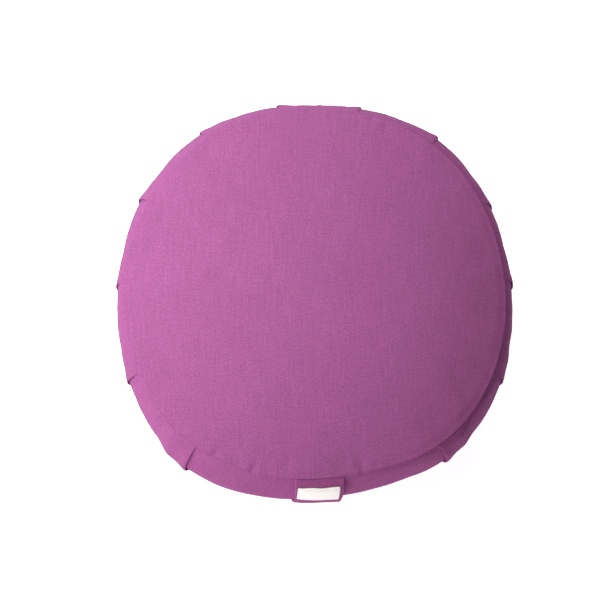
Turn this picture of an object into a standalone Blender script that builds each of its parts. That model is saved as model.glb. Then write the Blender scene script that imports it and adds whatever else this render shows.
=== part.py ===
"""Round meditation cushion (zafu) with a pleated side band, a cloth handle and a small bare label.

Metres, +Z up, the origin on the floor under the middle. The handle is at the front, -Y.
Angles round the cushion run clockwise from the back, +Y, as seen from above.
A drop is how far a level of the band lies below the top seam.

The cover is a round top and a round bottom sewn to a side band. The band is pleated into
both seams: six knife pleats on each half, folded towards the front. Filled, it is one solid:
a crowned top, sides that swell between the drawn-in seams, and a flat resting face.
"""

import math
from collections import namedtuple

import bmesh
import bpy

MM = 0.001

# The filled form
DIAMETER = 0.330  # mean, over the swell of the band
HEIGHT = 0.150
TOP_SEAM_HEIGHT = 0.118
WIDEST_HEIGHT = 0.061
BOTTOM_SEAM_HEIGHT = 0.017
SWELL = 0.0119  # the widest level stands this far outside the seams
SWELL_POWER = 2.15
CROWN_STEEPENING = 0.25  # the top falls away faster near its seam than a plain dome
FLAT_RADIUS = 0.104  # where the bottom lies on the floor
UNDERSIDE_POWER = 1.6
GROOVE_DEPTH = 0.0006  # the stitches draw each seam in
GROOVE_WIDTH = 0.0030

SEAM_RADIUS = DIAMETER / 2 - SWELL
BAND_HEIGHT = TOP_SEAM_HEIGHT - BOTTOM_SEAM_HEIGHT
WIDEST_DROP = TOP_SEAM_HEIGHT - WIDEST_HEIGHT
CROWN = HEIGHT - TOP_SEAM_HEIGHT
FLAT_SHARE = FLAT_RADIUS / SEAM_RADIUS

# The outline isn't a true circle. Woven cloth gives more on its bias, so the band swells four
# ways, and the top seam has waves of its own. Amounts are shares of the radius.
Wave = namedtuple("Wave", "lobes amount peak_deg")
BAND_WAVES = (
    Wave(lobes=2, amount=0.0050, peak_deg=36.2),
    Wave(lobes=3, amount=0.0093, peak_deg=-13.4),
    Wave(lobes=4, amount=0.0209, peak_deg=40.6),
    Wave(lobes=5, amount=0.0034, peak_deg=-17.0),
    Wave(lobes=6, amount=0.0030, peak_deg=-29.1),
    Wave(lobes=7, amount=0.0010, peak_deg=-20.8),
    Wave(lobes=8, amount=0.0007, peak_deg=-5.5),
    Wave(lobes=9, amount=0.0015, peak_deg=19.0),
    Wave(lobes=10, amount=0.0010, peak_deg=0.0),
)
TOP_SEAM_WAVES = (
    Wave(lobes=1, amount=0.0084, peak_deg=77.3),
    Wave(lobes=2, amount=0.0173, peak_deg=-75.6),
    Wave(lobes=3, amount=0.0086, peak_deg=22.4),
    Wave(lobes=4, amount=0.0082, peak_deg=-10.3),
)
TOP_SEAM_REACH = 0.035  # how far down the band the top seam's own waves fade out
SEAM_PUSH = 0.0175  # the handle's stiff end pushes the top seam out, most on its -X side
SEAM_PUSH_CENTRE_DEG = 190.0
SEAM_PUSH_SPREAD_DEG = 16.0

# Each pleat: where its folded edge leaves the top seam, how far the edge stands off the plain
# cloth, how far the inner fold behind it shows through, and how far the edge leans towards the
# front halfway down
Tuck = namedtuple("Tuck", "edge_deg lift_mm ridge_mm lean_mm")
LEFT_TUCKS = (
    Tuck(edge_deg=10.3, lift_mm=1.6, ridge_mm=0.2, lean_mm=2.0),
    Tuck(edge_deg=34.6, lift_mm=1.8, ridge_mm=0.5, lean_mm=-0.9),
    Tuck(edge_deg=60.6, lift_mm=2.0, ridge_mm=0.4, lean_mm=0.3),
    Tuck(edge_deg=87.1, lift_mm=1.5, ridge_mm=0.2, lean_mm=-1.3),
    Tuck(edge_deg=114.9, lift_mm=2.0, ridge_mm=0.3, lean_mm=-2.1),
    Tuck(edge_deg=142.9, lift_mm=2.7, ridge_mm=2.3, lean_mm=0.7),
)
RIGHT_TUCKS = (
    Tuck(edge_deg=13.7, lift_mm=1.6, ridge_mm=0.4, lean_mm=0.6),
    Tuck(edge_deg=38.2, lift_mm=2.1, ridge_mm=0.3, lean_mm=-2.3),
    Tuck(edge_deg=62.5, lift_mm=1.4, ridge_mm=0.6, lean_mm=0.3),
    Tuck(edge_deg=86.1, lift_mm=1.7, ridge_mm=0.5, lean_mm=1.1),
    Tuck(edge_deg=113.9, lift_mm=1.6, ridge_mm=0.7, lean_mm=0.0),
    Tuck(edge_deg=141.0, lift_mm=2.8, ridge_mm=1.8, lean_mm=-0.7),
)

# One pleat, section by section, from the plain cloth behind it to the plain cloth before it.
# at_seam_mm and open_mm are places along the band, from the folded edge towards the front:
# at_seam_mm where a seam holds the pleat, open_mm where it has opened. lean, lift and ridge are
# the shares of the tuck's own that the section takes.
Fold = namedtuple("Fold", "at_seam_mm open_mm lean lift ridge")
FOLDS = (
    Fold(at_seam_mm=-30.0, open_mm=-30.0, lean=0.0, lift=0.00, ridge=0.06),
    Fold(at_seam_mm=-24.0, open_mm=-24.0, lean=0.2, lift=0.05, ridge=0.65),
    Fold(at_seam_mm=-18.0, open_mm=-18.0, lean=0.4, lift=0.12, ridge=1.00),  # over the inner fold
    Fold(at_seam_mm=-10.0, open_mm=-10.0, lean=0.7, lift=0.34, ridge=0.36),  # hollow between the folds
    Fold(at_seam_mm=-4.0, open_mm=-4.2, lean=0.9, lift=0.88, ridge=0.00),
    Fold(at_seam_mm=-0.8, open_mm=-1.2, lean=1.0, lift=1.00, ridge=0.00),  # crest
    Fold(at_seam_mm=0.5, open_mm=0.6, lean=1.0, lift=0.66, ridge=0.00),  # folded edge
    Fold(at_seam_mm=0.9, open_mm=0.0, lean=1.0, lift=0.36, ridge=0.00),
    Fold(at_seam_mm=1.2, open_mm=-4.2, lean=1.0, lift=0.26, ridge=0.00),  # under the fold
    Fold(at_seam_mm=1.5, open_mm=-4.2, lean=1.0, lift=0.06, ridge=0.00),
    Fold(at_seam_mm=2.2, open_mm=2.2, lean=1.0, lift=0.00, ridge=0.00),
    Fold(at_seam_mm=10.0, open_mm=10.0, lean=0.4, lift=0.00, ridge=0.00),
)
LIFT_AT_SEAM = 0.35  # share of a tuck's lift that is left at the seams
TUCK_RISES_OVER = 0.022
TUCK_OPENS_OVER = 0.014
LOBE_SWELL = 0.0006  # plain cloth between two pleats
COLUMNS_BETWEEN_TUCKS = 3
COLUMNS_TO_HANDLE = 8

# Levels of the band, and rings of the two round panels as shares of the seam radius
BAND_DROPS = (0.0, 0.0025, 0.007, 0.015, 0.027, 0.041, 0.055, 0.069, 0.082, 0.091, 0.0975, BAND_HEIGHT)
TOP_EDGE_SHARES = (0.985, 0.94, 0.86)
TOP_INNER_SHARES = (0.70, 0.50, 0.30, 0.12)
UNDERSIDE_EDGE_SHARES = (0.93, 0.82)
UNDERSIDE_INNER_SHARES = (0.74, FLAT_SHARE)
THINNING = 3  # edge columns for each inner column of a panel

# Handle: a folded strap of the same cloth sewn into both seams, lying on the band
HANDLE_CENTRE_DEG = 178.0
HANDLE_WIDTH = 0.039
HANDLE_THICKNESS = 0.0026
HANDLE_END_THICKNESS = 0.0014
HANDLE_CLEARANCE = 0.0004
HANDLE_BOW = 0.0009  # it stands a little further off halfway down
HANDLE_END_DROP = 0.0018
HANDLE_LEAN_DEG = -3.4  # it runs down a little towards -X
HANDLE_FLATNESS = 0.9  # it is stiff, so between the seams it hardly bends round the cushion
HANDLE_TWIST = 0.030  # rise across it: its +X edge stands further off than the other
HANDLE_STATIONS = 15
HANDLE_COLUMNS = 6

# Label: a bare tape patch sewn on the upper part of the handle
LABEL_WIDTH = 0.0335
LABEL_HEIGHT = 0.0246
LABEL_THICKNESS = 0.0010
LABEL_TOP_DROP = 0.0074
LABEL_CLEARANCE = 0.0003
LABEL_STATIONS = 7
LABEL_COLUMNS = 5

PURPLE_CANVAS = (0.40, 0.115, 0.30)
PURPLE_STRAP = (0.38, 0.105, 0.285)
WHITE_TAPE = (0.86, 0.85, 0.83)
CLOTH_ROUGHNESS = 0.9
TAPE_ROUGHNESS = 0.75
SHARP_ANGLE_DEG = 50

Column = namedtuple("Column", "side edge_angle at_seam open_at lean lift lobe")


def smooth(x):
    """Ease from 0 to 1 as x goes from 0 to 1."""
    x = min(max(x, 0.0), 1.0)
    return x * x * (3 - 2 * x)


def mix(a, b, share):
    return a + (b - a) * share


def from_seam(drop):
    """How far a level of the band is from the nearer seam."""
    return min(drop, BAND_HEIGHT - drop)


def waves_at(waves, angle):
    return sum(w.amount * math.cos(w.lobes * (angle - math.radians(w.peak_deg))) for w in waves)


def outline(angle, drop):
    """The radius at this angle and level as a share of the mean one."""
    top_seam_part = 1 - smooth(drop / TOP_SEAM_REACH)
    off_push = (math.degrees(angle) - SEAM_PUSH_CENTRE_DEG + 180) % 360 - 180
    push = SEAM_PUSH * math.exp(-((off_push / SEAM_PUSH_SPREAD_DEG) ** 2))
    return 1 + waves_at(BAND_WAVES, angle) + top_seam_part * (waves_at(TOP_SEAM_WAVES, angle) + push)


def band_radius(drop):
    """Mean radius of the plain band at this level."""
    span = WIDEST_DROP if drop < WIDEST_DROP else BAND_HEIGHT - WIDEST_DROP
    off_widest = abs(drop - WIDEST_DROP) / span
    groove = GROOVE_DEPTH * math.exp(-((from_seam(drop) / GROOVE_WIDTH) ** 2))
    return SEAM_RADIUS + SWELL * (1 - off_widest**SWELL_POWER) - groove


def column_angle(column, drop):
    opened = smooth(from_seam(drop) / TUCK_OPENS_OVER)
    leaned = smooth(2 * from_seam(drop) / BAND_HEIGHT)
    along = mix(column.at_seam, column.open_at, opened) + column.lean * leaned
    return column.side * (column.edge_angle + along / SEAM_RADIUS)


def band_point(column, drop):
    """A point of the pleated band."""
    angle = column_angle(column, drop)
    lift = column.lift * mix(LIFT_AT_SEAM, 1.0, smooth(from_seam(drop) / TUCK_RISES_OVER))
    lobe = column.lobe * LOBE_SWELL * math.sin(math.pi * drop / BAND_HEIGHT)
    radius = band_radius(drop) * outline(angle, drop) + lift + lobe
    return (radius * math.sin(angle), radius * math.cos(angle), TOP_SEAM_HEIGHT - drop)


def crown_height(share):
    """Height of the top panel at a share of the seam radius."""
    fall = (1 - share**2) * (1 + CROWN_STEEPENING * share**2)
    return TOP_SEAM_HEIGHT + CROWN * fall


def underside_height(share):
    """Height of the bottom panel at a share of the seam radius: nil where it lies on the floor."""
    out = max(0.0, (share - FLAT_SHARE) / (1 - FLAT_SHARE))
    return BOTTOM_SEAM_HEIGHT * out**UNDERSIDE_POWER


def half_columns(tucks, side):
    """The columns of one half, from the first behind the back pleat to the last before the handle."""
    columns = []
    angles = [math.radians(tuck.edge_deg) for tuck in tucks]
    for number, (tuck, angle) in enumerate(zip(tucks, angles)):
        for fold in FOLDS:
            lift = (fold.lift * tuck.lift_mm + fold.ridge * tuck.ridge_mm) * MM
            places = (fold.at_seam_mm * MM, fold.open_mm * MM)
            columns.append(Column(side, angle, *places, fold.lean * tuck.lean_mm * MM, lift, lobe=0.0))
        start = FOLDS[-1].open_mm * MM
        if number < len(tucks) - 1:
            count, lobe = COLUMNS_BETWEEN_TUCKS, 1.0
            end = (angles[number + 1] - angle) * SEAM_RADIUS + FOLDS[0].open_mm * MM
        else:
            count, lobe = COLUMNS_TO_HANDLE, 0.0
            end = (math.pi - angle) * SEAM_RADIUS
        for step in range(1, count + 1):
            along = mix(start, end, step / (count + 1))
            columns.append(Column(side, angle, along, along, lean=0.0, lift=0.0, lobe=lobe))
    return columns


def all_columns():
    """Every column of the band in order, clockwise from the front round to the front again."""
    front = Column(side=-1, edge_angle=math.pi, at_seam=0.0, open_at=0.0, lean=0.0, lift=0.0, lobe=0.0)
    between_back_tucks = math.radians((RIGHT_TUCKS[0].edge_deg - LEFT_TUCKS[0].edge_deg) / 2)
    back = Column(1, between_back_tucks, at_seam=0.0, open_at=0.0, lean=0.0, lift=0.0, lobe=0.0)
    left = half_columns(LEFT_TUCKS, -1)
    right = half_columns(RIGHT_TUCKS, 1)
    return [front, *reversed(left), back, *right]


def panel_ring(angles, share, height, seam_drop):
    """Points of one ring of a round panel that is sewn to the band at seam_drop."""
    points = []
    for angle in angles:
        radius = SEAM_RADIUS * share * mix(1.0, outline(angle, seam_drop), share)
        points.append((radius * math.sin(angle), radius * math.cos(angle), height))
    return points


def inner_angles(columns, relax):
    """Angles of a panel's inner columns, between those of the seam and an even spacing."""
    kept = [column_angle(column, 0.0) for column in columns[::THINNING]]
    even = [-math.pi + 2 * math.pi * number / len(kept) for number in range(len(kept))]
    return [mix(a, b, relax) for a, b in zip(kept, even)]


def add_ring(mesh, points):
    return [mesh.verts.new(point) for point in points]


def join_rings(mesh, upper, lower):
    """Quads between two rings of the same count."""
    count = len(upper)
    for i in range(count):
        j = (i + 1) % count
        mesh.faces.new((upper[i], upper[j], lower[j], lower[i]))


def thin_rings(mesh, edge, inner):
    """Triangles from a ring of many columns to one with fewer."""
    count = len(edge)
    turn = THINNING // 2 + 1
    for i, near in enumerate(inner):
        following = inner[(i + 1) % len(inner)]
        for k in range(THINNING):
            here = edge[(i * THINNING + k) % count]
            beyond = edge[(i * THINNING + k + 1) % count]
            if k == turn:
                mesh.faces.new((here, following, near))
            mesh.faces.new((here, beyond, near if k < turn else following))


def add_top_panel(mesh, columns, seam):
    edge_angles = [column_angle(column, 0.0) for column in columns]
    edge = seam
    for share in TOP_EDGE_SHARES:
        ring = add_ring(mesh, panel_ring(edge_angles, share, crown_height(share), 0.0))
        join_rings(mesh, ring, edge)
        edge = ring
    for number, share in enumerate(TOP_INNER_SHARES):
        angles = inner_angles(columns, (number + 1) / len(TOP_INNER_SHARES))
        ring = add_ring(mesh, panel_ring(angles, share, crown_height(share), 0.0))
        if number == 0:
            thin_rings(mesh, edge, ring)
        else:
            join_rings(mesh, ring, edge)
        edge = ring
    top = mesh.verts.new((0.0, 0.0, HEIGHT))
    for i, vertex in enumerate(edge):
        mesh.faces.new((vertex, top, edge[(i + 1) % len(edge)]))


def add_underside(mesh, columns, seam):
    edge_angles = [column_angle(column, BAND_HEIGHT) for column in columns]
    edge = seam
    for share in UNDERSIDE_EDGE_SHARES:
        ring = add_ring(mesh, panel_ring(edge_angles, share, underside_height(share), BAND_HEIGHT))
        join_rings(mesh, edge, ring)
        edge = ring
    for number, share in enumerate(UNDERSIDE_INNER_SHARES):
        angles = inner_angles(columns, (number + 1) / len(UNDERSIDE_INNER_SHARES))
        ring = add_ring(mesh, panel_ring(angles, share, underside_height(share), BAND_HEIGHT))
        if number == 0:
            thin_rings(mesh, edge, ring)
        else:
            join_rings(mesh, edge, ring)
        edge = ring
    mesh.faces.new(edge)


def build_cushion():
    """The filled cover as one closed mesh."""
    columns = all_columns()
    mesh = bmesh.new()
    rings = [add_ring(mesh, [band_point(column, drop) for column in columns]) for drop in BAND_DROPS]
    for upper, lower in zip(rings, rings[1:]):
        join_rings(mesh, upper, lower)
    add_top_panel(mesh, columns, rings[0])
    add_underside(mesh, columns, rings[-1])
    return finish_mesh(mesh, "cushion")


def strap_point(across, drop, off):
    """A point over the front of the band: across the strap, down from the seam, off the cloth."""
    free = smooth(from_seam(drop) / TUCK_OPENS_OVER)
    off += HANDLE_TWIST * across * free
    side = across + math.tan(math.radians(HANDLE_LEAN_DEG)) * drop
    centre = math.radians(HANDLE_CENTRE_DEG)
    step = 0.1 * MM
    above = band_radius(drop - step) * outline(centre, drop - step)
    below = band_radius(drop + step) * outline(centre, drop + step)
    slope = (below - above) / (2 * step)
    length = math.hypot(1.0, slope)
    middle = (above + below) / 2 + off / length
    angle = centre - math.atan2(side, middle)
    bent = band_radius(drop) * outline(angle, drop) + off / length
    radius = mix(bent, math.hypot(middle, side), HANDLE_FLATNESS * free)
    height = TOP_SEAM_HEIGHT - drop + off * slope / length
    return (radius * math.sin(angle), radius * math.cos(angle), height)


def strap_mesh(name, width, columns, stations):
    """A closed strap over the band with rounded edges. A station is a drop, an inner and an outer offset."""
    mesh = bmesh.new()
    rings = []
    for drop, low, high in stations:
        flat_half = width / 2 - (high - low) / 2
        across = [mix(-flat_half, flat_half, step / columns) for step in range(columns + 1)]
        points = [strap_point(place, drop, high) for place in across]
        points.append(strap_point(width / 2, drop, (low + high) / 2))
        points += [strap_point(place, drop, low) for place in reversed(across)]
        points.append(strap_point(-width / 2, drop, (low + high) / 2))
        rings.append(add_ring(mesh, points))
    for upper, lower in zip(rings, rings[1:]):
        join_rings(mesh, upper, lower)
    mesh.faces.new(rings[0])
    mesh.faces.new(rings[-1])
    return finish_mesh(mesh, name)


def handle_stations():
    """Levels of the handle, closer together towards the seams, with its two surfaces there."""
    stations = []
    for number in range(HANDLE_STATIONS):
        share = number / (HANDLE_STATIONS - 1)
        drop = mix(HANDLE_END_DROP, BAND_HEIGHT - HANDLE_END_DROP, (share + smooth(share)) / 2)
        low = HANDLE_CLEARANCE + HANDLE_BOW * math.sin(math.pi * drop / BAND_HEIGHT)
        free = smooth(from_seam(drop) / TUCK_OPENS_OVER)
        stations.append((drop, low, low + mix(HANDLE_END_THICKNESS, HANDLE_THICKNESS, free)))
    return stations


def handle_surface(drop):
    """How far the handle's outer surface stands off the band at this level."""
    stations = handle_stations()
    for (above, _, high_above), (below, _, high_below) in zip(stations, stations[1:]):
        if above <= drop <= below:
            return mix(high_above, high_below, (drop - above) / (below - above))
    return stations[-1][2]


def label_stations():
    stations = []
    for number in range(LABEL_STATIONS):
        drop = LABEL_TOP_DROP + LABEL_HEIGHT * number / (LABEL_STATIONS - 1)
        low = handle_surface(drop) + LABEL_CLEARANCE
        stations.append((drop, low, low + LABEL_THICKNESS))
    return stations


def finish_mesh(mesh, name):
    """Turn a bmesh into a named object, its faces pointing out and its curves shaded smooth."""
    bmesh.ops.recalc_face_normals(mesh, faces=mesh.faces)
    data = bpy.data.meshes.new(name)
    mesh.to_mesh(data)
    mesh.free()
    data.shade_smooth()
    data.set_sharp_from_angle(angle=math.radians(SHARP_ANGLE_DEG))
    thing = bpy.data.objects.new(name, data)
    bpy.context.scene.collection.objects.link(thing)
    return thing


def cloth(name, colour, roughness):
    """A plain Principled material for one of the pieces."""
    material = bpy.data.materials.new(name)
    material.use_nodes = True
    shader = material.node_tree.nodes["Principled BSDF"]
    shader.inputs["Base Color"].default_value = (*colour, 1.0)
    shader.inputs["Roughness"].default_value = roughness
    shader.inputs["Metallic"].default_value = 0.0
    return material


def main():
    for thing in list(bpy.data.objects):
        bpy.data.objects.remove(thing)
    cushion = build_cushion()
    cushion.data.materials.append(cloth("purple_canvas", PURPLE_CANVAS, CLOTH_ROUGHNESS))
    handle = strap_mesh("handle", HANDLE_WIDTH, HANDLE_COLUMNS, handle_stations())
    handle.data.materials.append(cloth("purple_strap", PURPLE_STRAP, CLOTH_ROUGHNESS))
    label = strap_mesh("label", LABEL_WIDTH, LABEL_COLUMNS, label_stations())
    label.data.materials.append(cloth("white_tape", WHITE_TAPE, TAPE_ROUGHNESS))


if __name__ == "__main__":
    main()
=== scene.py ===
"""Looks of a zafu: a round, firmly filled cushion in purple canvas.

It has a pleated band, a strap and a bare label. Metres, +Z up, the origin on the floor under the
middle, the strap at the front (-Y). Angles round the cushion run clockwise from the back, +Y, as
seen from above. A drop is how far a level of the band lies below the top seam, and an inset is
how far a place on a round panel lies inside its seam; a level is either. Names in _mm are in
millimetres and names in _deg in degrees.
"""

import logging
import math
from dataclasses import dataclass
from enum import Enum
from functools import partial
from typing import Callable, Sequence

import bpy
import numpy as np
from mathutils import Matrix, Vector


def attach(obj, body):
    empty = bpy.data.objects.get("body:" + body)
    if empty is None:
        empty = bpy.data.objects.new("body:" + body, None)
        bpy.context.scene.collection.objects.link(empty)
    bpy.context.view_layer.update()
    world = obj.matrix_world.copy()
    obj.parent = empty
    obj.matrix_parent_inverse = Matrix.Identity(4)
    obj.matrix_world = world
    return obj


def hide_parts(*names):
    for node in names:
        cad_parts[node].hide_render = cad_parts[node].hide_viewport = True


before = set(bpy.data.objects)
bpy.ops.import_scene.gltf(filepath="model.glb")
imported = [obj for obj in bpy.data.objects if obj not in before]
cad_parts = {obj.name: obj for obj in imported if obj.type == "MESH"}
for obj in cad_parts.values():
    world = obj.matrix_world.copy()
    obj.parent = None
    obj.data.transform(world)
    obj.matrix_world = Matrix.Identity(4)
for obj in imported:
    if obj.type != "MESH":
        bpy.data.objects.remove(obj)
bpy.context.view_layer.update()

MM = 0.001
FULL_TURN = 2 * math.pi
TINY = 1e-15
Numbers = np.ndarray | float

log = logging.getLogger("zafu")


class Half(Enum):
    """The two halves of the band. Its pleats are folded towards the strap on both."""

    LEFT = -1
    RIGHT = 1


class Slot(Enum):
    """Material slots of the record."""

    CANVAS = "canvas"
    STRAP = "strap"
    TAPE = "tape"


class Panel(Enum):
    """The cut pieces of the cover."""

    TOP = 0
    BAND = 1
    BOTTOM = 2


def ease(x: Numbers) -> np.ndarray:
    """Ease from 0 to 1 as x goes from 0 to 1."""
    x = np.clip(x, 0.0, 1.0)
    return x * x * (3 - 2 * x)


def mix(a: Numbers, b: Numbers, share: Numbers) -> Numbers:
    """Go from a to b by a share."""
    return a + (b - a) * share


def bell(x: Numbers, width: float) -> np.ndarray:
    """A soft hump of height 1 round 0."""
    return np.exp(-((x / width) ** 2))


def flowing(x: np.ndarray, places: Sequence[float], values: Sequence[float]) -> np.ndarray:
    """Read a smooth curve that passes through a short table.

    Args:
        x: Where to read it. Outside the table it keeps its end values.
        places: The table's places, rising.
        values: The curve's value at each place.

    Returns:
        The values at x.
    """
    places, values = np.asarray(places, float), np.asarray(values, float)
    slopes = np.gradient(values, places)
    x = np.clip(x, places[0], places[-1])
    cell = np.clip(np.searchsorted(places, x) - 1, 0, len(places) - 2)
    width = places[cell + 1] - places[cell]
    t = (x - places[cell]) / width
    rise = values[cell] * (1 + 2 * t) * (1 - t) ** 2 + values[cell + 1] * t * t * (3 - 2 * t)
    return rise + width * (slopes[cell] * t * (1 - t) ** 2 - slopes[cell + 1] * t * t * (1 - t))


def turn_from(place_deg: float, angle: Numbers) -> np.ndarray:
    """The turn from a place in degrees to an angle, in radians, within half a turn."""
    return (angle - math.radians(place_deg) + math.pi) % FULL_TURN - math.pi


def at_turn(angle: Numbers, radius: Numbers, height: Numbers) -> np.ndarray:
    """Points from their angles round the cushion, their radii and their heights."""
    return np.stack(np.broadcast_arrays(radius * np.sin(angle), radius * np.cos(angle), height), axis=-1)


def running(points: np.ndarray) -> np.ndarray:
    """How far each point lies along the line through them all."""
    return np.concatenate([[0], np.cumsum(np.linalg.norm(np.diff(points, axis=0), axis=1))])


def add_object(name: str, data: bpy.types.ID) -> bpy.types.Object:
    """Put an object with this data into the scene."""
    thing = bpy.data.objects.new(name, data)
    bpy.context.scene.collection.objects.link(thing)
    return thing


def add_mesh(
    name: str, points: Sequence, faces: Sequence, edges: Sequence = (), cloth: np.ndarray | None = None
) -> bpy.types.Object:
    """Put a mesh into the scene.

    Args:
        name: The object's name.
        points: Its vertices.
        faces: The vertex numbers of each face.
        edges: The vertex numbers of each loose edge.
        cloth: Each face corner's place on the cloth in metres. A mesh with this map is shaded smooth.

    Returns:
        The object.
    """
    data = bpy.data.meshes.new(name)
    data.from_pydata(points, edges, faces)
    if cloth is not None:
        data.uv_layers.new(name="cloth").data.foreach_set("uv", cloth.astype(np.float32).ravel())
        data.shade_smooth()
    return add_object(name, data)


@dataclass(frozen=True)
class Wave:
    """One even wave of the outline; its amount is a share of the radius."""

    lobes: int
    amount: float
    peak_deg: float

    def at(self, angle: Numbers) -> Numbers:
        """Its height at these angles."""
        return self.amount * np.cos(self.lobes * (angle - math.radians(self.peak_deg)))


BAND_WAVES = tuple(Wave(*row) for row in (
    (2, 0.0050, 36.2), (3, 0.0093, -13.4), (4, 0.0209, 40.6), (5, 0.0034, -17.0), (6, 0.0030, -29.1),
    (7, 0.0010, -20.8), (8, 0.0007, -5.5), (9, 0.0015, 19.0), (10, 0.0010, 0.0),
))
TOP_SEAM_WAVES = tuple(Wave(*row) for row in (
    (1, 0.0084, 77.3), (2, 0.0173, -75.6), (3, 0.0086, 22.4), (4, 0.0082, -10.3),
))


@dataclass(frozen=True)
class FilledForm:
    """The filled cover without its pleats, with the sizes of the CAD solid."""

    diameter: float = 0.330
    height: float = 0.150
    top_seam_height: float = 0.118
    widest_height: float = 0.061
    bottom_seam_height: float = 0.017
    swell: float = 0.0119
    swell_power: float = 2.15
    crown_steepening: float = 0.25
    flat_radius: float = 0.104
    underside_power: float = 1.6
    groove_depth: float = 0.0006  # how far the stitches pull the cloth in beside a seam
    groove_width: float = 0.0030
    panel_groove_width: float = 0.0013
    top_seam_reach: float = 0.035
    strap_deg: float = 178.0
    seam_push: float = 0.0175  # the strap's stiff end pushes the top seam out, most on its -X side
    seam_push_deg: float = 190.0
    seam_push_spread_deg: float = 16.0
    normal_step: float = 0.0002

    @property
    def seam_radius(self) -> float:
        """Mean radius of both seams."""
        return self.diameter / 2 - self.swell

    @property
    def band_height(self) -> float:
        """From seam to seam."""
        return self.top_seam_height - self.bottom_seam_height

    @property
    def widest_drop(self) -> float:
        """Where the band swells most."""
        return self.top_seam_height - self.widest_height

    def from_seam(self, drop: Numbers) -> np.ndarray:
        """How far a level of the band is from the nearer seam."""
        return np.minimum(drop, self.band_height - drop)

    def path(self, panel: Panel, level: float) -> float:
        """How far a level lies past the top seam, over the cushion's side: negative on the top."""
        if panel is Panel.TOP:
            return -level
        return level if panel is Panel.BAND else self.band_height + level

    def outline(self, angle: Numbers, drop: Numbers) -> np.ndarray:
        """The radius at this angle and level as a share of the mean one."""
        top_part = 1 - ease(drop / self.top_seam_reach)
        band = sum(wave.at(angle) for wave in BAND_WAVES)
        top = sum(wave.at(angle) for wave in TOP_SEAM_WAVES)
        off_push = turn_from(self.seam_push_deg, angle)
        top = top + self.seam_push * bell(off_push, math.radians(self.seam_push_spread_deg))
        return 1 + band + top_part * top

    def band_radius(self, drop: Numbers) -> np.ndarray:
        """Mean radius of the plain band at this level."""
        span = np.where(drop < self.widest_drop, self.widest_drop, self.band_height - self.widest_drop)
        off_widest = np.abs(drop - self.widest_drop) / span
        groove = self.groove_depth * bell(self.from_seam(drop), self.groove_width)
        return self.seam_radius + self.swell * (1 - off_widest**self.swell_power) - groove

    def band_point(self, angle: np.ndarray, drop: np.ndarray) -> np.ndarray:
        """Points of the plain band."""
        radius = self.band_radius(drop) * self.outline(angle, drop)
        return at_turn(angle, radius, self.top_seam_height - drop)

    def panel_point(self, panel: Panel, angle: np.ndarray, inset: np.ndarray) -> np.ndarray:
        """Points of the top or the bottom, each inset a mean over the turn."""
        share = 1 - inset / self.seam_radius
        seam = self.outline(angle, 0.0 if panel is Panel.TOP else self.band_height)
        radius = self.seam_radius * share * mix(1.0, seam, share)
        radius = radius - self.groove_depth * bell(inset, self.panel_groove_width) * seam
        if panel is Panel.TOP:
            crown = (1 - share**2) * (1 + self.crown_steepening * share**2)
            return at_turn(angle, radius, mix(self.top_seam_height, self.height, crown))
        flat_share = self.flat_radius / self.seam_radius
        out = np.maximum(0.0, (share - flat_share) / (1 - flat_share))
        return at_turn(angle, radius, self.bottom_seam_height * out**self.underside_power)

    def surface(self, panel: Panel) -> Callable[[np.ndarray, np.ndarray], np.ndarray]:
        """The function that gives a panel's points from angles and levels."""
        return self.band_point if panel is Panel.BAND else partial(self.panel_point, panel)

    def outward(self, panel: Panel, angle: np.ndarray, level: np.ndarray) -> np.ndarray:
        """Unit normals of a panel at these angles and levels."""
        surface, step = self.surface(panel), self.normal_step
        level = np.maximum(level, step)
        round_way = surface(angle + step, level) - surface(angle - step, level)
        down_way = surface(angle, level + step) - surface(angle, level - step)
        normal = np.cross(round_way, down_way)
        normal /= np.linalg.norm(normal, axis=-1, keepdims=True) + TINY
        away = surface(angle, level) - np.array([0.0, 0.0, self.height / 2])
        return normal * np.sign((normal * away).sum(-1, keepdims=True))


@dataclass(frozen=True)
class Tuck:
    """One knife pleat of the band.

    edge_deg is where its folded edge leaves the top seam, lift_mm how far that edge stands off
    the plain cloth, ridge_mm how far the inner fold behind it shows through, and lean_mm how far
    the edge leans towards the strap halfway down.
    """

    half: Half
    edge_deg: float
    lift_mm: float
    ridge_mm: float
    lean_mm: float


TUCKS = tuple(Tuck(*row) for row in (
    (Half.LEFT, 10.3, 1.6, 0.2, 2.0),
    (Half.LEFT, 34.6, 1.8, 0.5, -0.9),
    (Half.LEFT, 60.6, 2.0, 0.4, 0.3),
    (Half.LEFT, 87.1, 1.5, 0.2, -1.3),
    (Half.LEFT, 114.9, 2.0, 0.3, -2.1),
    (Half.LEFT, 142.9, 2.7, 2.3, 0.7),
    (Half.RIGHT, 13.7, 1.6, 0.4, 0.6),
    (Half.RIGHT, 38.2, 2.1, 0.3, -2.3),
    (Half.RIGHT, 62.5, 1.4, 0.6, 0.3),
    (Half.RIGHT, 86.1, 1.7, 0.5, 1.1),
    (Half.RIGHT, 113.9, 1.6, 0.7, 0.0),
    (Half.RIGHT, 141.0, 2.8, 1.8, -0.7),
))


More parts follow.
